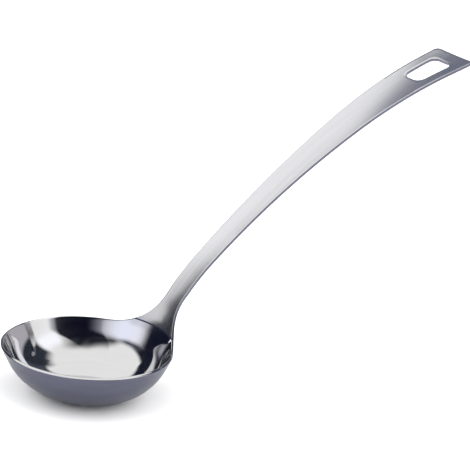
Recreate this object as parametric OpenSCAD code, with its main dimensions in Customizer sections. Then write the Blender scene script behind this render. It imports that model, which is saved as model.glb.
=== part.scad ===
// A soup ladle of sheet steel: a drawn bowl and a bent handle, joined by a weld across the neck.
// The bowl stands on its flat base at the origin, and the handle rises towards +X.

/* [Sheet] */
// Thickness of the steel sheet
sheet = 1.8; // [1.2:0.1:2.2]
// Width of the ground weld between bowl and handle
weld_w = 0.8; // [0.6:0.1:1.2]

/* [Bowl] */
// Outer diameter of the rim
rim_d = 92; // [88:1:98]
// Height of the rim above the base
bowl_h = 26; // [24:0.5:29]
// Slope of the bowl's wall at the rim, in degrees
wall_slope = 64; // [60:1:70]
// Radius of the bend between the flat base and the wall, on the underside
bowl_bend_r = 34.1; // [30:0.1:38]

/* [Neck] */
// Height that the bowl's wall climbs above the rim to the weld
neck_rise = 2.8; // [2:0.1:4]
// Radius of the curve from the rim to the waist, seen from the front
neck_fillet_r = 22.6; // [20:0.1:26]
// Width of the handle at its waist
waist_w = 13.8; // [11:0.1:16]
// Radius of the bend from the bowl's wall to the waist, on the underside
neck_bend_r = 105; // [80:1:130]

/* [Handle] */
// Radius of the lower bend, on the underside
low_bend_r = 130; // [110:1:170]
// Turn of the lower bend, in degrees
low_angle = 9.5; // [7:0.1:11]
// Radius of the long middle bend, on the underside
mid_bend_r = 528; // [450:1:600]
// Turn of the middle bend, in degrees
mid_angle = 12.3; // [10:0.1:15]
// Radius of the upper bend, on the underside
top_bend_r = 291; // [250:1:330]
// Turn of the upper bend, in degrees
top_angle = 12.9; // [10:0.1:15]
// Length of the straight end
tip_l = 13.8; // [10:0.1:20]
// Radius of the handle's sides, which widen from the waist to the end
flank_r = 745; // [650:5:900]
// Radius of the two corners at the end
tip_corner_r = 3; // [2:0.1:5]

/* [Hanging slot] */
// Length of the slot
slot_l = 26; // [20:0.1:30]
// Radius of the slot's corners
slot_corner_r = 3.2; // [2:0.1:4.5]
// Distance from the slot to the sides of the handle
slot_side_margin = 7; // [5:0.1:9]
// Distance from the slot to the end of the handle
slot_end_margin = 8.4; // [5:0.1:10]

/* [Hidden] */
$fn = 180;
bowl_steps = 24;
bend_steps = 12;
corner_steps = 8;
// How far the round neck runs on into the flat strip, so that the two are one piece
neck_lap = 0.3;
// How far the cuts through the handle's end reach past the sheet
cut_overrun = 5;

rim_r = rim_d / 2;
// The flat base takes up what the wall and its bend leave of the rim's radius
base_r = rim_r - bowl_bend_r * sin(wall_slope)
    - (bowl_h - bowl_bend_r * (1 - cos(wall_slope))) / tan(wall_slope);
waist_r = waist_w / 2;
waist_z = bowl_h + neck_fillet_r;
fillet_y = waist_r + neck_fillet_r;

// A place on the sheet's underside is [x, z, slope], and these two move it along the sheet.
// A positive angle steepens the sheet and a negative angle lays it back.
function ahead(place, length) = [
    place[0] + length * cos(place[2]),
    place[1] + length * sin(place[2]),
    place[2]
];
function bent(place, radius, angle) = [
    place[0] + sign(angle) * radius * (sin(place[2] + angle) - sin(place[2])),
    place[1] + sign(angle) * radius * (cos(place[2]) - cos(place[2] + angle)),
    place[2] + angle
];

base_edge = [base_r, 0, 0];
wall_foot = bent(base_edge, bowl_bend_r, wall_slope);
wall_l = (bowl_h + neck_rise - wall_foot[1]) / sin(wall_slope);
wall_top = ahead(wall_foot, wall_l);
neck_foot = ahead(wall_top, weld_w);
waist_slope = acos(cos(wall_slope) + (waist_z - neck_foot[1]) / neck_bend_r);
neck_angle = wall_slope - waist_slope;
waist = bent(neck_foot, neck_bend_r, -neck_angle);
low_end = bent(waist, low_bend_r, -low_angle);
mid_end = bent(low_end, mid_bend_r, -mid_angle);
top_end = bent(mid_end, top_bend_r, -top_angle);
tip = ahead(top_end, tip_l);

// The handle's side in the front view, as [z, y]: up the fillet to the waist, then up the flank
top_z = tip[1] + sheet;
flank_angle = asin((top_z - waist_z) / flank_r);
fillet_side = [for (i = [0:bend_steps]) [
    waist_z - neck_fillet_r * cos(90 * i / bend_steps),
    fillet_y - neck_fillet_r * sin(90 * i / bend_steps)
]];
flank_side = [for (i = [1:bend_steps]) [
    waist_z + flank_r * sin(flank_angle * i / bend_steps),
    waist_r + flank_r * (1 - cos(flank_angle * i / bend_steps))
]];
tip_half_w = waist_r + flank_r - sqrt(pow(flank_r, 2) - pow(tip[1] - waist_z, 2));
// How far each side leans out at the end, in the plane of the sheet
splay_angle = atan(tan(flank_angle) * sin(tip[2]));

// The slot's half outline, as [distance past the handle's end, y], with its side along the handle's side
function cornerArc(centre, from, to) = [
    for (i = [0:corner_steps])
        let (angle = from + (to - from) * i / corner_steps)
            centre + slot_corner_r * [cos(angle), sin(angle)]
];
function slotCorner(x) = [
    x,
    tip_half_w - slot_side_margin + x * tan(splay_angle) - slot_corner_r / cos(splay_angle)
];
slot_half = concat(
    cornerArc(slotCorner(-slot_end_margin - slot_corner_r), 0, 90 + splay_angle),
    cornerArc(slotCorner(-slot_end_margin - slot_l + slot_corner_r), 90 + splay_angle, 180)
);

// The places along a bend, and the point of the upper face over a place
function alongBend(place, radius, angle, steps = bend_steps) = [
    for (i = [1:steps]) bent(place, radius, angle * i / steps)
];
function upperFace(place) = [
    place[0] - sheet * sin(place[2]),
    place[1] + sheet * cos(place[2])
];

// A row of points on one side of the middle, run back along the other side
function mirrored(points) = [
    for (i = [len(points) - 1:-1:0]) [points[i][0], -points[i][1]]
];

// The sheet's section along a row of places
module sheetSection(places) {
    polygon(concat(
        [for (place = places) [place[0], place[1]]],
        [for (i = [len(places) - 1:-1:0]) upperFace(places[i])]
    ));
}

// Everything within the handle's outline in the front view, on the handle's side of the bowl
module withinOutline() {
    side = concat([[0, fillet_y]], fillet_side, flank_side);
    rotate([0, -90, 180])
        linear_extrude(tip[0] + rim_r)
            polygon(concat(side, mirrored(side)));
}

// The frame of the handle's end: X runs along the sheet and Z stands square to it
module atTip() {
    translate([tip[0], 0, tip[1]])
        rotate([0, -tip[2], 0])
            children();
}

module slotOutline() {
    polygon(concat(slot_half, mirrored(slot_half)));
}

// What rounding takes off one corner of the handle's end
module cornerWaste() {
    translate([-tip_corner_r, tip_half_w - tip_corner_r * (1 + sin(splay_angle)) / cos(splay_angle)])
        difference() {
            square(2 * tip_corner_r);
            circle(tip_corner_r);
        }
}

// The handle's lower end carries on the round of the bowl as far as the waist
module neckSheet() {
    intersection() {
        rotate([0, 0, -90])
            rotate_extrude(angle = 180)
                sheetSection(concat(
                    [neck_foot],
                    alongBend(neck_foot, neck_bend_r, -neck_angle),
                    [ahead(waist, neck_fillet_r)]
                ));
        translate([waist[0], 0, waist[1]])
            rotate([0, -waist[2], 0])
                translate([neck_lap - rim_d, -rim_d, -rim_d])
                    cube([rim_d, 2 * rim_d, 2 * rim_d]);
    }
}

// The flat strip from the waist to the end, in three bends and a straight
module handleSheet() {
    rotate([90, 0, 0])
        linear_extrude(2 * fillet_y, center = true)
            sheetSection(concat(
                [waist],
                alongBend(waist, low_bend_r, -low_angle),
                alongBend(low_end, mid_bend_r, -mid_angle),
                alongBend(mid_end, top_bend_r, -top_angle),
                [tip]
            ));
}

module bowl() {
    color("lightsteelblue")
        difference() {
            rotate_extrude()
                sheetSection(concat(
                    [[0, 0, 0], base_edge],
                    alongBend(base_edge, bowl_bend_r, wall_slope, bowl_steps),
                    [wall_top]
                ));
            difference() {
                translate([-rim_d, -rim_d, bowl_h])
                    cube([2 * rim_d, 2 * rim_d, rim_d]);
                withinOutline();
            }
        }
}

module neck_weld() {
    color("dimgray")
        intersection() {
            rotate([0, 0, -90])
                rotate_extrude(angle = 180)
                    sheetSection([wall_top, neck_foot]);
            withinOutline();
        }
}

module handle() {
    color("silver")
        difference() {
            intersection() {
                union() {
                    neckSheet();
                    handleSheet();
                }
                withinOutline();
            }
            atTip()
                linear_extrude(2 * (sheet + cut_overrun), center = true) {
                    slotOutline();
                    for (side = [0, 1])
                        mirror([0, side])
                            cornerWaste();
                }
        }
}

bowl();
neck_weld();
handle();
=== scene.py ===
import bpy
import bmesh
from math import sin, cos, tan, asin, acos, atan, sqrt, pi, radians, degrees, ceil
from mathutils import Matrix, Vector


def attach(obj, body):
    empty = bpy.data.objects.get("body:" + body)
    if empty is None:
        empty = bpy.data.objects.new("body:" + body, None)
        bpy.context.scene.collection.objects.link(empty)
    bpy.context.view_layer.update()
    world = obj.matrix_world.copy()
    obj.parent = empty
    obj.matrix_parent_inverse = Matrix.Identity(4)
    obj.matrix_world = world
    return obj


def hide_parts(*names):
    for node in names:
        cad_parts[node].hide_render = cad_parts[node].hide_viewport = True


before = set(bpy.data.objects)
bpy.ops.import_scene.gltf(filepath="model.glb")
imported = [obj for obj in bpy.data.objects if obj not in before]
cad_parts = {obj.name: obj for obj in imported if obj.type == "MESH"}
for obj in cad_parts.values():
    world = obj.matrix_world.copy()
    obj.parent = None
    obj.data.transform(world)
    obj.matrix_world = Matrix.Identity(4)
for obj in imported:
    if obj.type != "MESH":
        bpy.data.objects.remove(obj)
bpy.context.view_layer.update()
print("frame loaded")

mm = 0.001


# Node helpers

class Value:                                  # what a node gives, ready for plain sums
    def __init__(self, tree, socket):
        self.tree = tree
        self.socket = socket

    def maths(self, operation, *others):
        return self.tree.add("ShaderNodeMath", {"operation": operation}, dict(enumerate((self,) + others)))

    def __add__(self, other):
        return self.maths("ADD", other)

    __radd__ = __add__

    def __sub__(self, other):
        return self.maths("SUBTRACT", other)

    def __rsub__(self, other):
        return self.tree.add("ShaderNodeMath", {"operation": "SUBTRACT"}, {0: other, 1: self})

    def __mul__(self, other):
        return self.maths("MULTIPLY", other)

    __rmul__ = __mul__

    def __truediv__(self, other):
        return self.maths("DIVIDE", other)

    def ramp(self, low, high):                # 0 below low, 1 above high, smooth between
        return self.tree.add("ShaderNodeMapRange", {"interpolation_type": "SMOOTHSTEP"},
                             {"Value": self, "From Min": low, "From Max": high})

    def split(self):                          # a vector's three numbers
        node = self.tree.add("ShaderNodeSeparateXYZ", inputs={0: self}).socket.node
        return [Value(self.tree, output) for output in node.outputs]


class Tree:                                   # a node tree, and the one way that a node is added to it
    def __init__(self, nodeTree):
        self.nodeTree = nodeTree

    def add(self, kind, settings=None, inputs=None, output=0):
        node = self.nodeTree.nodes.new(kind)
        for name, value in (settings or {}).items():
            setattr(node, name, value)
        for name, value in (inputs or {}).items():
            self.feed(node.inputs[name], value)
        return Value(self, node.outputs[output])

    def feed(self, socket, value):
        if isinstance(value, Value):
            self.nodeTree.links.new(value.socket, socket)
        else:
            socket.default_value = value


# The next four take plain numbers and node values alike

def sine(angle):
    return angle.maths("SINE") if isinstance(angle, Value) else sin(angle)


def cosine(angle):
    return angle.maths("COSINE") if isinstance(angle, Value) else cos(angle)


def atMost(value, limit):
    if isinstance(value, Value):
        return value.maths("MINIMUM", limit)
    return min(value, limit)


def atLeast(value, limit):
    if isinstance(value, Value):
        return value.maths("MAXIMUM", limit)
    return max(value, limit)


# Sizes in mm and degrees. Those marked "here" aren't in the part's source, or differ from it

sheet = {
    "thick": 1.8,
    "upperRound": 0.5,                        # here: how far its edges are rounded
    "lowerRound": 0.9,                        # here
    "roundSteps": 4,
}
bowl = {
    "rimRadius": 46.0,
    "height": 26.0,
    "wallSlope": 64.0,
    "bend": 34.1,                             # the radius between base and wall
    "rimRound": 0.8,                          # here
    "lean": 0.05,                             # here: shift towards the handle, per mm below the rim
}
neckWeld = {
    "rise": 2.8,                              # the bowl's wall climbs this far above the rim
    "width": 0.8,
    "dip": 0.25,                              # here: how far it is ground below the sheet
}
handle = {
    "neckFillet": 22.6,
    "neckSlim": 1.0,                          # here: taken off each side between rim and waist
    "neckBend": 105.0,
    "waistWidth": 13.8,
    "lowBend": 130.0,
    "lowTurn": 9.5,
    "midBend": 528.0,
    "midTurn": 12.3,
    "topBend": 291.0,
    "topTurn": 12.9,
    "endLength": 13.8,
    "flankRadius": 745.0,
    "endCorner": 3.0,
    "flattenOver": 70.0,                      # here: the neck's round goes flat over this length
    "camber": 0.0015,                         # here: how hollow it is above, per mm
}
slot = {                                      # here
    "length": 23.8,
    "rootCorner": 5.0,
    "endCorner": 4.2,
    "sideMargin": 7.0,
    "endMargin": 9.1,
}

largestRound = max(sheet["upperRound"], sheet["lowerRound"])


# The sheet's section

waistHeight = bowl["height"] + handle["neckFillet"]
waistHalf = handle["waistWidth"] / 2
filletY = waistHalf + handle["neckFillet"]
wallSlope = radians(bowl["wallSlope"])
baseRadius = (bowl["rimRadius"] - bowl["bend"] * sin(wallSlope)
              - (bowl["height"] - bowl["bend"] * (1 - cos(wallSlope))) / tan(wallSlope))
wallLength = (bowl["height"] + neckWeld["rise"]
              - bowl["bend"] * (1 - cos(wallSlope))) / sin(wallSlope)
neckFootHeight = bowl["height"] + neckWeld["rise"] + neckWeld["width"] * sin(wallSlope)
waistSlope = acos(cos(wallSlope) + (waistHeight - neckFootHeight) / handle["neckBend"])

stretches = [                                 # name, length and turn per mm, along the sheet's underside
    ("Base", baseRadius, None),
    ("Bowl bend", bowl["bend"] * wallSlope, 1 / bowl["bend"]),
    ("Wall", wallLength + neckWeld["width"], None),
    ("Neck bend", handle["neckBend"] * (wallSlope - waistSlope), -1 / handle["neckBend"]),
    ("Low bend", handle["lowBend"] * radians(handle["lowTurn"]), -1 / handle["lowBend"]),
    ("Middle bend", handle["midBend"] * radians(handle["midTurn"]), -1 / handle["midBend"]),
    ("Top bend", handle["topBend"] * radians(handle["topTurn"]), -1 / handle["topBend"]),
    ("End", handle["endLength"], None),
]
ends = [sum(length for _, length, _ in stretches[:i + 1]) for i in range(len(stretches))]
baseEnd, wallFoot, neckFoot, waist, lowEnd, midEnd, topEnd, handleEnd = ends
crease = neckFoot - neckWeld["width"]         # where the bowl ends and the weld starts
pastWall = stretches[3:]                      # the bends that lay the handle back, and its end
topSlope = wallSlope - sum(length * -turn for _, length, turn in pastWall if turn)


def sectionPoint(along, lift, parts):         # of plain numbers or node values; lift is square to the sheet
    x, z, slope, turned, start = 0, 0, 0, 0, 0     # slope is for whole parts, turned up to the point
    for _, length, turn in parts:
        part = atLeast(atMost(along - start, length), 0)
        if turn is None:
            x = x + part * cosine(slope)
            z = z + part * sine(slope)
        else:
            x = x + (sine(slope + part * turn) - sine(slope)) / turn
            z = z + (cosine(slope) - cosine(slope + part * turn)) / turn
            slope = slope + length * turn
            turned = turned + part * turn
        start = start + length
    return x - lift * sine(turned), z + lift * cosine(turned)


def halfWidth(z):                             # of the handle, at a height
    if z < waistHeight:
        slim = handle["neckSlim"] * max(0.0, sin(pi * (z - bowl["height"]) / handle["neckFillet"]))
        return filletY - sqrt(handle["neckFillet"] ** 2 - (waistHeight - z) ** 2) - slim
    return waistHalf + handle["flankRadius"] - sqrt(handle["flankRadius"] ** 2 - (z - waistHeight) ** 2)


def solve(test, low, high, halvings=50):      # where test goes from false to true
    for _ in range(halvings):
        middle = (low + high) / 2
        low, high = (low, middle) if test(middle) else (middle, high)
    return high


rimEnd = solve(lambda s: sectionPoint(s, 0, stretches)[1] > bowl["height"], baseEnd, crease)


# The flat blank

blank = {                                     # how the sheet is divided into faces
    "tongueColumns": 24,
    "shoulderColumns": 12,
    "backColumns": 152,
    "baseRows": 4,
    "bendRows": 26,
    "wallRows": 6,
    "weldRows": 4,
    "rowStep": 1.8,
    "guard": 0.9,                             # the last strip beside an edge, wider than its rounding
    "arcSteps": 5,                            # for half a corner
    "slotSideSteps": 14,
    "slotEndSteps": 8,
    "rings": 5,
    "ringStart": 42.0,                        # the rows turn into rings this far from the end
}


class Face:                                   # one face of the sheet, upper or under
    def __init__(self, mesh, upper):
        self.mesh = mesh
        self.upper = upper
        self.lift = sheet["thick"] if upper else 0.0

    def point(self, along):
        return sectionPoint(along, self.lift, stretches)

    def add(self, along, across=None, angle=0.0, dip=0.0):     # across the handle, or round the bowl
        lift = self.lift + (-dip if self.upper else dip)
        if across is not None:
            angle = asin(across / self.point(along)[0])
        return self.mesh.verts.new((along, angle, lift))

    def skin(self, corners, region):          # corners counterclockwise, seen from above
        face = self.mesh.faces.new(corners if self.upper else corners[::-1])
        face.material_index = region

    def half(self, along):                    # of the handle's width; the edges stand square to the sheet
        return halfWidth(sectionPoint(along, 0, stretches)[1])

    def tongue(self, along, dip=0.0):         # one row across the handle
        half = self.half(along)
        count = blank["tongueColumns"]
        inner = [(half - blank["guard"]) * (2 * i / (count - 2) - 1) for i in range(count - 1)]
        return [self.add(along, y, dip=dip) for y in [-half] + inner + [half]]

    def rimAlong(self, angle):                # where a column of the bowl ends
        if angle >= self.shoulderAngle:
            return rimEnd
        return solve(lambda s: self.point(s)[0] * sin(angle) > self.half(s), rimEnd, crease)

    def columnAngles(self):                   # from one side of the neck round the bowl to the other
        self.shoulderAngle = asin(filletY / self.point(rimEnd)[0])
        cornerAngle = asin(self.half(crease) / self.point(crease)[0])
        shoulder = [cornerAngle + (self.shoulderAngle - cornerAngle) * i / blank["shoulderColumns"]
                    for i in range(1, blank["shoulderColumns"] + 1)]
        back = [self.shoulderAngle + 2 * (pi - self.shoulderAngle) * i / blank["backColumns"]
                for i in range(1, blank["backColumns"])]
        return shoulder + back + [2 * pi - angle for angle in reversed(shoulder)]


inside, outside, weld, satin, edge = range(5)     # the sheet's regions, one material each


def rowsTo(start, stop, count):               # evenly spaced past start, the last one at stop
    return [start + (stop - start) * (i + 1) / count for i in range(count)]


def bowlColumn(face, angle, top, crown):      # its last vertex is crown, where the weld has made it
    rows = rowsTo(0, baseEnd, blank["baseRows"]) + rowsTo(baseEnd, wallFoot, blank["bendRows"])
    rows += rowsTo(wallFoot, top - blank["guard"], blank["wallRows"])
    column = [face.add(along, angle=angle) for along in rows]
    return column + [crown or face.add(top, angle=angle)]


def makeBowl(face, creaseRow):
    region = inside if face.upper else outside
    tongueAngles = [vertex.co.y for vertex in creaseRow]
    columns = [bowlColumn(face, angle, crease, vertex) for angle, vertex in zip(tongueAngles, creaseRow)]
    rest = face.columnAngles()
    columns += [bowlColumn(face, a, face.rimAlong(min(a, 2 * pi - a)), None) for a in rest]
    pole = face.add(0.0)
    for left, right in zip(columns, columns[1:] + columns[:1]):
        face.skin([pole, left[0], right[0]], region)
        for i in range(len(left) - 1):
            face.skin([left[i], left[i + 1], right[i + 1], right[i]], region)
    return [column[-1] for column in columns[len(creaseRow):]]


def makeStrip(face, rows, region):
    for low, high in zip(rows, rows[1:]):
        for i in range(len(low) - 1):
            face.skin([low[i], high[i], high[i + 1], low[i + 1]], region)


def handleRows(face, last):                   # from the weld to the row where the rings start
    rows = []
    starts = [neckFoot, waist, lowEnd, midEnd]
    stops = [waist, lowEnd, midEnd, last]
    for start, stop in zip(starts, stops):
        count = ceil((stop - start) / blank["rowStep"])
        rows += [face.tongue(along) for along in rowsTo(start, stop, count)]
    return rows


def alongAt(face, back):                      # the place that lies this far behind the end
    if back <= handle["endLength"]:
        return handleEnd - back
    return topEnd - handle["topBend"] * asin((back - handle["endLength"]) / (handle["topBend"] + face.lift))


def arc(centre, radius, start, stop, steps):
    angles = [start + (stop - start) * i / steps for i in range(steps + 1)]
    return [(centre[0] + radius * cos(a), centre[1] + radius * sin(a)) for a in angles]


def spread(start, stop, steps):
    return [(start[0] + (stop[0] - start[0]) * i / steps, start[1] + (stop[1] - start[1]) * i / steps)
            for i in range(steps + 1)]


def joinPaths(*paths):
    points = list(paths[0])
    for path in paths[1:]:
        points += path[1:]
    return points


def lower(path):                              # the same path on the other side of the middle
    return [(x, -y) for x, y in path]


def closeLoop(side, end, root):               # counterclockwise from the root's corner below y zero
    return joinPaths(lower(side), end[::-1], side[::-1], root[::-1])[:-1]


def straightAcross(start, steps):             # to the same place on the other side
    return spread(start, (start[0], -start[1]), steps)


def slotArcs(splay):                          # the slot's corners on one side, at the root and at the end
    sideAtEnd = halfWidth(sectionPoint(handleEnd, 0, stretches)[1]) - slot["sideMargin"]
    rootX = slot["rootCorner"] - slot["endMargin"] - slot["length"]
    endX = -slot["endMargin"] - slot["endCorner"]

    def corner(x, radius, start, stop):
        centre = (x, sideAtEnd + x * tan(splay) - radius / cos(splay))
        return arc(centre, radius, start, stop, 2 * blank["arcSteps"])

    return (corner(rootX, slot["rootCorner"], pi, pi / 2 + splay),
            corner(endX, slot["endCorner"], pi / 2 + splay, 0))


def halves(corner):                           # a corner's two halves, which share its middle point
    return corner[:blank["arcSteps"] + 1], corner[blank["arcSteps"]:]


def slotLoop(splay, rootSteps):
    rootArc, endArc = slotArcs(splay)
    rootFirst, rootLast = halves(rootArc)
    endFirst, endLast = halves(endArc)
    side = joinPaths(rootLast, spread(rootArc[-1], endArc[0], blank["slotSideSteps"]), endFirst)
    end = joinPaths(endLast, straightAcross(endLast[-1], blank["slotEndSteps"]), lower(endLast[::-1]))
    rootStart = lower(rootFirst[::-1])
    root = joinPaths(rootStart, straightAcross(rootStart[-1], rootSteps), rootFirst)
    return closeLoop(side, end, root)


def endLoop(face, splay, rootRow):
    radius = handle["endCorner"]
    centre = (-radius, face.half(handleEnd) - radius * (1 + sin(splay)) / cos(splay))
    corner = arc(centre, radius, pi / 2 + splay, 0, 2 * blank["arcSteps"])
    first, last = halves(corner)
    places = spread((-blank["ringStart"], 0), corner[0], blank["arcSteps"] + blank["slotSideSteps"])
    side = joinPaths([(x, face.half(alongAt(face, -x))) for x, _ in places], first)
    end = joinPaths(last, straightAcross(last[-1], blank["slotEndSteps"]), lower(last[::-1]))
    root = [(-blank["ringStart"], face.point(v.co.x)[0] * sin(v.co.y)) for v in rootRow]
    return closeLoop(side, end, root)


def makeEnd(face, rootRow):                   # rings round the slot, out to the handle's rounded end
    endHeight = sectionPoint(handleEnd, sheet["thick"], stretches)[1]
    flankAngle = asin((endHeight - waistHeight) / handle["flankRadius"])
    splay = atan(tan(flankAngle) * sin(topSlope))
    outerLoop = endLoop(face, splay, rootRow)
    innerLoop = slotLoop(splay, len(rootRow) - 1 - 2 * blank["arcSteps"])
    count = len(outerLoop)
    loops = []
    for ring in range(blank["rings"] + 1):
        share = ring / blank["rings"]
        loop = []
        for i, (outer, inner) in enumerate(zip(outerLoop, innerLoop)):
            back = -i % count                 # the loop starts and ends on the root's row
            if ring == 0 and back < len(rootRow):
                loop.append(rootRow[back])
                continue
            x = outer[0] + (inner[0] - outer[0]) * share
            y = outer[1] + (inner[1] - outer[1]) * share
            loop.append(face.add(alongAt(face, -x), y))
        loops.append(loop)
    for outer, inner in zip(loops, loops[1:]):
        for i in range(count):
            j = (i + 1) % count
            face.skin([outer[i], outer[j], inner[j], inner[i]], satin)
    return loops[0][1:count - len(rootRow) + 1], loops[-1]


def makeFace(mesh, upper):                    # gives its outer edge, the edge's regions and the slot's edge
    face = Face(mesh, upper)
    weldRows = []
    for i in range(blank["weldRows"] + 1):
        share = i / blank["weldRows"]
        dip = neckWeld["dip"] * sin(pi * share)
        weldRows.append(face.tongue(crease + neckWeld["width"] * share, dip))
    rim = makeBowl(face, weldRows[0])
    makeStrip(face, weldRows, weld)
    rows = [weldRows[-1]] + handleRows(face, alongAt(face, blank["ringStart"]))
    makeStrip(face, rows, satin)
    endEdge, slotEdge = makeEnd(face, rows[-1])
    tongueRows = weldRows + rows[1:]
    loop = [row[0] for row in tongueRows] + endEdge + [row[-1] for row in reversed(tongueRows)] + rim
    weldRegions = [weld] * blank["weldRows"]
    handleRegions = [edge] * (2 * (len(rows) - 1) + len(endEdge) + 1)
    regions = weldRegions + handleRegions + weldRegions + [inside] * (len(rim) + 1)
    return loop, regions, slotEdge


def closeEdge(mesh, under, upper, regions, weights, weightLayer):     # the sheet's thickness
    count = len(under)
    for i in range(count):
        j = (i + 1) % count
        face = mesh.faces.new([under[i], under[j], upper[j], upper[i]])
        face.material_index = regions[i]
        mesh.edges.get((under[i], under[j]))[weightLayer] = weights[0][i]
        mesh.edges.get((upper[i], upper[j]))[weightLayer] = weights[1][i]


def edgeWeights(regions):                     # how far each edge is rounded, as a share of the largest
    count = len(regions)
    rimEdges = [i for i, region in enumerate(regions) if region == inside]
    first, last = rimEdges[0], rimEdges[-1]
    under, upper = [], []
    for i in range(count):                    # the rim's rounding starts over the shoulders
        inRim = max(0.0, min(1.0, min(i - first, last - i) / blank["shoulderColumns"]))
        lowerRound = sheet["lowerRound"] + (bowl["rimRound"] - sheet["lowerRound"]) * inRim
        upperRound = sheet["upperRound"] + (bowl["rimRound"] - sheet["upperRound"]) * inRim
        under.append(lowerRound / largestRound)
        upper.append(upperRound / largestRound)
    return under, upper


def makeBlank(materials):
    mesh = bmesh.new()
    weightLayer = mesh.edges.layers.float.new("bevel_weight_edge")
    underLoop, regions, underSlot = makeFace(mesh, False)
    upperLoop, _, upperSlot = makeFace(mesh, True)
    closeEdge(mesh, underLoop, upperLoop, regions, edgeWeights(regions), weightLayer)
    slotWeights = ([sheet["lowerRound"] / largestRound] * len(underSlot),
                   [sheet["upperRound"] / largestRound] * len(underSlot))
    closeEdge(mesh, underSlot[::-1], upperSlot[::-1], [edge] * len(underSlot), slotWeights, weightLayer)
    data = bpy.data.meshes.new("sheetBlank")
    for material in materials:
        data.materials.append(material)
    mesh.to_mesh(data)
    mesh.free()
    data.shade_smooth()
    return data


# Bending the blank

def setMaterials(tree, geometry, materials):  # one for each region of the sheet
    for region, material in enumerate(materials):
        index = tree.add("GeometryNodeInputMaterialIndex")
        picked = tree.add("FunctionNodeCompare", {"data_type": "INT", "operation": "EQUAL"},
                          {2: index, 3: region})       # the sockets for whole numbers
        geometry = tree.add("GeometryNodeSetMaterial",
                            inputs={"Geometry": geometry, "Selection": picked, "Material": material})
    return geometry


def bendingTree(materials):                   # a geometry tree that lays the flat blank along the section
    group = bpy.data.node_groups.new("bendSheet", "GeometryNodeTree")
    group.interface.new_socket("Geometry", in_out="INPUT", socket_type="NodeSocketGeometry")
    group.interface.new_socket("Geometry", in_out="OUTPUT", socket_type="NodeSocketGeometry")
    sizes = {"Round until": waist, "Flatten over": handle["flattenOver"], "Lean": bowl["lean"],
             "Camber": handle["camber"], "Bowl height": bowl["height"], "Scale": mm}
    for name, length, turn in stretches:
        sizes[name + " length"] = length
        if turn is not None:
            sizes[name + " turn"] = turn
    settings = {}
    for name, value in sizes.items():
        item = group.interface.new_socket(name, in_out="INPUT", socket_type="NodeSocketFloat")
        settings[item.identifier] = value
    tree = Tree(group)
    source = group.nodes.new("NodeGroupInput")

    def size(name):
        return Value(tree, source.outputs[name])

    # the blank's own place: along the section, round the bowl's axis, and up through the sheet
    along, angle, lift = tree.add("GeometryNodeInputPosition").split()
    parts = [(name, size(name + " length"), None if turn is None else size(name + " turn"))
             for name, _, turn in stretches]
    radius, height = sectionPoint(along, lift, parts)
    flatness = along.ramp(size("Round until"), size("Round until") + size("Flatten over"))
    x = radius - radius * (1 - cosine(angle)) * (1 - flatness)
    y = radius * sine(angle)
    x = x + atLeast(size("Bowl height") - height, 0) * size("Lean")
    dish = y * y * size("Camber") * flatness
    x, height = x - dish, height + dish
    scale = size("Scale")
    place = tree.add("ShaderNodeCombineXYZ", inputs={0: x * scale, 1: y * scale, 2: height * scale})
    moved = tree.add("GeometryNodeSetPosition",
                     inputs={"Geometry": Value(tree, source.outputs["Geometry"]), "Position": place})
    real = tree.add("GeometryNodeRealizeInstances", inputs={0: moved})
    sink = group.nodes.new("NodeGroupOutput")
    tree.feed(sink.inputs[0], setMaterials(tree, real, materials))
    return group, settings


def bentSheet(materials):
    holder = bpy.data.objects.new("sheetBlank", makeBlank(materials))
    bpy.context.scene.collection.objects.link(holder)
    group, settings = bendingTree(materials)
    bend = holder.modifiers.new("bend", "NODES")
    bend.node_group = group
    for identifier, value in settings.items():
        bend[identifier] = value
    rounding = holder.modifiers.new("rounding", "BEVEL")
    rounding.limit_method = "WEIGHT"
    rounding.width = largestRound * mm
    rounding.segments = sheet["roundSteps"]
    evaluated = holder.evaluated_get(bpy.context.evaluated_depsgraph_get())
    mesh = bpy.data.meshes.new_from_object(evaluated)
    holder.modifiers.clear()
    bpy.data.objects.remove(holder)
    return mesh


def capPiece(mesh, regions):                  # keeps one piece's faces and closes its cut section
    part = bmesh.new()
    part.from_mesh(mesh)
    bmesh.ops.delete(part, geom=[f for f in part.faces if f.material_index not in regions], context="FACES")
    rims = [e for e in part.edges if e.is_boundary]
    bmesh.ops.triangle_fill(part, use_beauty=True, edges=rims, normal=(0, 0, 1))
    for rim in rims:
        rim.smooth = False
    bmesh.ops.recalc_face_normals(part, faces=part.faces)
    for face in part.faces:
        face.smooth = True
        region = face.material_index
        face.material_index = regions.index(region) if region in regions else 0
    data = bpy.data.meshes.new("piece")
    part.to_mesh(data)
    part.free()
    return data


def addPiece(whole, name, node, regions):
    data = capPiece(whole, regions)
    data.name = name
    piece = bpy.data.objects.new(name, data)
    bpy.context.scene.collection.objects.link(piece)
    for region in regions:
        data.materials.append(whole.materials[region])
    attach(piece, "root")
    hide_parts(node)


# Materials

def newMaterial(name):
    material = bpy.data.materials.new(name)
    material.use_nodes = True
    material.node_tree.nodes.clear()
    return material, Tree(material.node_tree)


def finishMaterial(tree, shader):
    out = tree.nodeTree.nodes.new("ShaderNodeOutputMaterial")
    tree.feed(out.inputs["Surface"], shader)


def objectPlace(tree):
    return tree.add("ShaderNodeTexCoord", output="Object")


def stretched(tree, place, scale):            # coordinates drawn out by a different amount each way
    return tree.add("ShaderNodeVectorMath", {"operation": "MULTIPLY"}, {0: place, 1: scale})


def noise(tree, place):
    return tree.add("ShaderNodeTexNoise", inputs={"Vector": place, "Scale": 1.0})


def grey(tone):
    return (tone, tone, tone, 1.0)


def blend(tree, share, first, second):        # from the first colour to the second
    colours = {0: share, 6: first, 7: second}     # the sockets that mix colours, as output 2 does
    return tree.add("ShaderNodeMix", {"data_type": "RGBA"}, colours, output=2)


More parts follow.
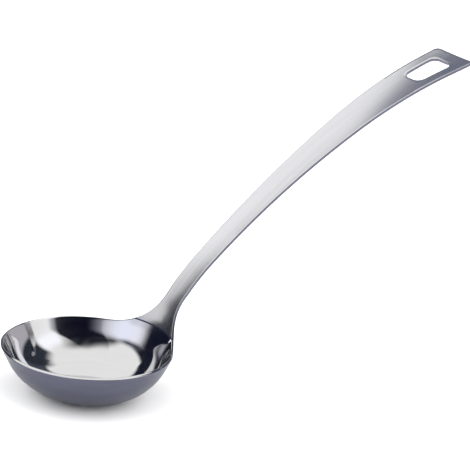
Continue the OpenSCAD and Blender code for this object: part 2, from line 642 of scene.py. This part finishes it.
def steel(tree, look, lines, streaks, shade=1):     # fine lines in relief, broad streaks in tone
    middle = 0.5                              # of the noise
    # streaks vary the tone twice as much as lines
    tone = 1 - (streaks - middle) * look["toneSpread"] * 2 - (lines - middle) * look["toneSpread"]
    tone = tone * shade
    colour = tree.add("ShaderNodeVectorMath", {"operation": "SCALE"}, {0: look["colour"], "Scale": tone})
    bump = tree.add("ShaderNodeBump", inputs={"Height": lines, "Distance": look["lineDepth"] * mm,
                                              "Strength": 1.0})
    shader = tree.add("ShaderNodeBsdfPrincipled", inputs={
        "Base Color": colour, "Metallic": 1.0,
        "Roughness": look["roughness"] + (streaks - middle) * look["roughnessSpread"], "Normal": bump})
    finishMaterial(tree, shader)


def brushedSteel(name, look):                 # brushed along the handle
    material, tree = newMaterial(name)
    place = objectPlace(tree)
    across, along = 1 / (look["lineWidth"] * mm), 1 / (look["lineLength"] * mm)
    lines = noise(tree, stretched(tree, place, (along, across, along)))
    broad, long = across / look["streakWidths"], along / look["streakLengths"]
    streaks = noise(tree, stretched(tree, place, (long, broad, long)))
    shade = 1
    # painted shade: the handle's colour is darker low down, towards the weld
    if "paintedShade" in look:                    # towards the weld
        height = place.split()[2]
        shadeMask = 1 - height.ramp(look["paintedShadeFrom"] * mm, look["paintedShadeTo"] * mm)
        shade = 1 - shadeMask * look["paintedShade"]
    steel(tree, look, lines, streaks, shade)
    return material


def spunSteel(name, look):                    # polished on the lathe, in rings round the bowl
    material, tree = newMaterial(name)
    x, y, z = objectPlace(tree).split()
    outwards = (x * x + y * y).maths("SQRT") + z
    across, along = 1 / (look["lineWidth"] * mm), 1 / (look["lineLength"] * mm)

    def rings(scale):
        place = tree.add("ShaderNodeCombineXYZ", inputs={0: x * along, 1: y * along, 2: outwards * scale})
        return noise(tree, place)

    steel(tree, look, rings(across), rings(across / look["streakWidths"]))
    return material


# Widths, lengths, depths and heights in mm. Streaks are counted in lines, across and along
polishedLook = {
    "colour": (0.745, 0.74, 0.74), "roughness": 0.06, "roughnessSpread": 0.08, "toneSpread": 0.04,
    "lineWidth": 0.5, "lineLength": 30.0, "lineDepth": 0.0005, "streakWidths": 12.0,
}
# painted shade: the bowl's outside has the same steel as the inside, but its colour is painted dark to
# stand in for the dark surroundings it would reflect; its satin roughness is real
outsidePaintedShadeLook = {
    "colour": (0.102, 0.106, 0.146), "roughness": 0.38, "roughnessSpread": 0.08, "toneSpread": 0.10,
    "lineWidth": 0.5, "lineLength": 18.0, "lineDepth": 0.004, "streakWidths": 12.0,
}
# the weld is a real ground joint; its near-black colour is painted shade of the crease between bowl and
# handle
weldCreaseShadeLook = {
    "colour": (0.045, 0.05, 0.09), "roughness": 0.4, "roughnessSpread": 0.2, "toneSpread": 0.25,
    "lineWidth": 0.3, "lineLength": 6.0, "lineDepth": 0.01, "streakWidths": 12.0,
}
handleLook = {
    "colour": (0.765, 0.765, 0.79), "roughness": 0.17, "roughnessSpread": 0.10, "toneSpread": 0.03,
    "lineWidth": 0.2, "lineLength": 24.0, "lineDepth": 0.003, "streakWidths": 9.0,
    # painted shade: the last three darken the handle by a quarter below 48 mm high, fading out by 76 mm
    "streakLengths": 3.0, "paintedShadeFrom": 48.0, "paintedShadeTo": 76.0, "paintedShade": 0.25,
}
# the sheet's cut edges: blanked and rougher than the faces; their dark colour is painted shade
edgeShadeLook = {
    "colour": (0.13, 0.13, 0.17), "roughness": 0.3, "roughnessSpread": 0.15, "toneSpread": 0.12,
    "lineWidth": 0.3, "lineLength": 10.0, "lineDepth": 0.004, "streakWidths": 9.0,
    "streakLengths": 3.0,
}


# Stage, light and camera

floorLook = {"colour": 0.8, "reach": 6.0, "lightAllRound": 0.2}     # the reach in metres
floorLight = [                                # what lights the floor, from the front and the sides
    {"round": 231, "above": 26, "halfWidth": 60, "halfHeight": 28, "soft": (20, 12), "light": 1.2},
    {"round": 141, "above": 40, "halfWidth": 55, "halfHeight": 26, "soft": (15, 12), "light": 3.6},
    {"round": -39, "above": 40, "halfWidth": 55, "halfHeight": 26, "soft": (15, 12), "light": 3.6},
]


def makeFloor():
    mesh = bpy.data.meshes.new("floor")
    reach = floorLook["reach"]
    mesh.from_pydata([(-reach, -reach, 0), (reach, -reach, 0), (reach, reach, 0), (-reach, reach, 0)],
                     [], [(0, 1, 2, 3)])
    floor = bpy.data.objects.new("floor", mesh)
    bpy.context.scene.collection.objects.link(floor)
    material, tree = newMaterial("floorPaper")
    finishMaterial(tree, tree.add("ShaderNodeBsdfDiffuse", inputs={"Color": grey(floorLook["colour"])}))
    mesh.materials.append(material)


darkRoom = (0.004, 0.005, 0.015)

# What metal sees, in degrees round and above the ladle. Slant and rise turn a flag or soft box, and
# soft is how far its edge fades, sideways and upwards
studio = [
    # the dark room behind the camera
    {"round": 248.4, "above": 30.8, "halfWidth": 38.2, "halfHeight": 22, "slant": 1.07, "rise": 0.16,
     "soft": (3.4, 15.8), "colour": darkRoom},
    {"round": 240.8, "above": 41.4, "halfWidth": 25, "halfHeight": 21.4, "slant": -0.87, "rise": -0.03,
     "soft": (30, 8.5), "colour": darkRoom},
    {"round": 208.7, "above": 43.6, "halfWidth": 27.6, "halfHeight": 9.1, "slant": -0.14, "rise": 0.32,
     "soft": (11.7, 12.7), "colour": darkRoom},
    # a low soft box behind the bowl, cooler than the rest
    {"round": 179.8, "above": 15.3, "halfWidth": 30.5, "halfHeight": 16.1, "rise": -0.04,
     "soft": (35, 7), "colour": (1.02, 1.06, 1.24)},
    # the gap between the low soft box and the ceiling
    {"round": 157.7, "above": 27.6, "halfWidth": 21.6, "halfHeight": 3.8, "rise": 0.18,
     "soft": (13.7, 5.2), "colour": (0.01, 0.012, 0.03)},
    # the flags behind the neck
    {"round": 125.6, "above": 19.5, "halfWidth": 21.1, "halfHeight": 12.3, "slant": -0.55,
     "soft": (15, 3.3), "colour": (0.004, 0.006, 0.018)},
    {"round": 96, "above": 4, "halfWidth": 46, "halfHeight": 14,
     "soft": (9, 1.5), "colour": (0.006, 0.008, 0.022)},
    {"round": 74, "above": 27, "halfWidth": 47, "halfHeight": 13, "slant": 1.1, "rise": -0.1,
     "soft": (2, 3), "colour": (0.006, 0.008, 0.022)},
    # the flag past the handle's end
    {"round": 50, "above": 20, "halfWidth": 31, "halfHeight": 20.5,
     "soft": (7, 3), "colour": (0.15, 0.165, 0.22)},
    # flags on the near side
    {"round": 20, "above": 26, "halfWidth": 26, "halfHeight": 14, "rise": -0.5,
     "soft": (3, 3), "colour": (0.08, 0.09, 0.12)},
    {"round": -10, "above": 30, "halfWidth": 23, "halfHeight": 22.5,
     "soft": (7, 7), "colour": (0.02, 0.026, 0.04)},
    {"round": 5, "above": 6, "halfWidth": 34, "halfHeight": 11,
     "soft": (4, 3), "colour": (0.50, 0.48, 0.53)},
    # a small soft box of its own
    {"round": -54, "above": 37, "halfWidth": 20, "halfHeight": 11,
     "soft": (6, 7), "colour": (1.24, 1.26, 1.34)},
]


cardLook = {                                  # a small white card that only the neck sees
    "from": (54.0, 2.0, 46.0),                # the place on the neck that it faces, in mm
    "round": 137.0,
    "above": 26.0,
    "distance": 45.0,
    "corners": ((0.0, -22.0), (12.0, -22.0), (10.0, 28.0), (-20.0, 44.0), (-40.0, 60.0), (-50.0, 60.0),
                (-37.0, 42.0), (-31.0, 34.0), (-25.5, 27.0), (-19.0, 16.5), (-12.0, 5.5), (-7.5, -0.5),
                (-4.2, -6.0), (-3.4, -12.0)),
    "glow": 1.0,
}


def makeCard(name, look):
    turn, above = radians(look["round"]), radians(look["above"])
    ahead = Vector((cos(above) * cos(turn), cos(above) * sin(turn), sin(above)))
    side = Vector((-sin(turn), cos(turn), 0))
    up = ahead.cross(side)
    centre = Vector(look["from"]) + ahead * look["distance"]
    corners = [centre + side * across + up * over for across, over in look["corners"]]
    mesh = bpy.data.meshes.new(name)
    mesh.from_pydata([corner * mm for corner in corners], [], [range(len(corners))])
    card = bpy.data.objects.new(name, mesh)
    bpy.context.scene.collection.objects.link(card)
    material, tree = newMaterial(name)
    finishMaterial(tree, tree.add("ShaderNodeEmission", inputs={"Color": grey(look["glow"])}))
    mesh.materials.append(material)
    card.visible_camera = False
    card.visible_diffuse = False
    card.visible_shadow = False


def flagMask(turn, above, flag):              # 1 within the flag, 0 past its soft edge
    height = above - flag["above"]
    across = (turn - flag["round"] + height * flag.get("slant", 0)).maths("WRAP", -180, 180)
    height = height - across * flag.get("rise", 0)
    across, height = across.maths("ABSOLUTE"), height.maths("ABSOLUTE")
    softRound, softAbove = flag["soft"]
    outRound = atLeast(across - (flag["halfWidth"] - softRound), 0) / (2 * softRound)
    outAbove = atLeast(height - (flag["halfHeight"] - softAbove), 0) / (2 * softAbove)
    return 1 - (outRound * outRound + outAbove * outAbove).maths("SQRT").ramp(0, 1)


def studioLight(tree, turn, above):           # pale all round, with the flags and soft boxes set into it
    colour = grey(1.0)
    for flag in studio:
        colour = blend(tree, flagMask(turn, above, flag), colour, flag["colour"] + (1.0,))
    return colour


def makeWorld():
    world = bpy.data.worlds.new("studio")
    world.use_nodes = True
    world.node_tree.nodes.clear()
    tree = Tree(world.node_tree)
    path = tree.add("ShaderNodeLightPath").socket.node
    glossy = Value(tree, path.outputs["Is Glossy Ray"])
    seen = Value(tree, path.outputs["Is Camera Ray"])
    x, y, z = tree.add("ShaderNodeTexCoord", output="Generated").split()     # the way a ray goes
    turn = y.maths("ARCTAN2", x) * degrees(1)
    above = z.maths("ARCSINE") * degrees(1)
    lit = grey(floorLook["lightAllRound"])
    for light in floorLight:
        lit = blend(tree, flagMask(turn, above, light), lit, grey(light["light"]))
    plain = blend(tree, seen, lit, grey(1.0))
    colour = blend(tree, glossy, plain, studioLight(tree, turn, above))
    background = tree.add("ShaderNodeBackground", inputs={"Color": colour})
    out = world.node_tree.nodes.new("ShaderNodeOutputWorld")
    tree.feed(out.inputs["Surface"], background)
    bpy.context.scene.world = world


overheadLook = {"place": (0.08, 0.0, 1.5), "size": 1.2, "power": 8.4}     # metres and watts


def makeLamp(name, look):                     # a square soft lamp that faces down
    data = bpy.data.lights.new(name, "AREA")
    data.size = look["size"]
    data.energy = look["power"]
    lamp = bpy.data.objects.new(name, data)
    lamp.location = look["place"]
    lamp.visible_glossy = False
    bpy.context.scene.collection.objects.link(lamp)


cameraLook = {                                # in pixels, degrees and mm
    "pictureSize": 470,
    "focalPixels": 3300.0,
    "azimuth": 51.135,
    "elevation": 19.191,
    "roll": 5.358,
    "bowlPixel": (86.98, 347.52),             # where the middle of the rim lies
    "distance": 1746.6,
    "sensor": 36.0,
    "clip": (50.0, 50000.0),
}


def makeCamera():
    azimuth, elevation = radians(cameraLook["azimuth"]), radians(cameraLook["elevation"])
    forward = Vector((cos(elevation) * cos(azimuth), cos(elevation) * sin(azimuth), -sin(elevation)))
    level = Vector((sin(azimuth), -cos(azimuth), 0))
    turn = Matrix.Rotation(-radians(cameraLook["roll"]), 3, forward)
    right = turn @ level
    up = right.cross(forward)
    distance = cameraLook["distance"]
    across, down = ((pixel - cameraLook["pictureSize"] / 2) / cameraLook["focalPixels"] * distance
                    for pixel in cameraLook["bowlPixel"])
    eye = Vector((0, 0, bowl["height"])) - distance * forward - across * right + down * up
    data = bpy.data.cameras.new("camera")
    data.sensor_width = cameraLook["sensor"]
    data.lens = cameraLook["focalPixels"] / cameraLook["pictureSize"] * data.sensor_width
    data.clip_start, data.clip_end = (length * mm for length in cameraLook["clip"])
    camera = bpy.data.objects.new("camera", data)
    bpy.context.scene.collection.objects.link(camera)
    turned = Matrix((right, up, -forward)).transposed().to_4x4()
    camera.matrix_world = Matrix.Translation(eye * mm) @ turned
    bpy.context.scene.camera = camera


wholeSheet = bentSheet([
    spunSteel("polishedBowl", polishedLook),
    spunSteel("satinBowlPaintedShade", outsidePaintedShadeLook),
    spunSteel("groundWeldCreaseShade", weldCreaseShadeLook),
    brushedSteel("brushedHandle", handleLook),
    brushedSteel("blankedEdgePaintedShade", edgeShadeLook),
])
print("sheet bent:", len(wholeSheet.polygons), "faces")
addPiece(wholeSheet, "drawnBowl", "bowl", [inside, outside])
addPiece(wholeSheet, "neckWeld", "neck_weld", [weld])
addPiece(wholeSheet, "bentHandle", "handle", [satin, edge])
print("pieces made")

makeFloor()
makeWorld()
makeCard("neckCard", cardLook)
makeLamp("overhead", overheadLook)
makeCamera()
bpy.context.scene.view_settings.view_transform = "Standard"
print("studio set")
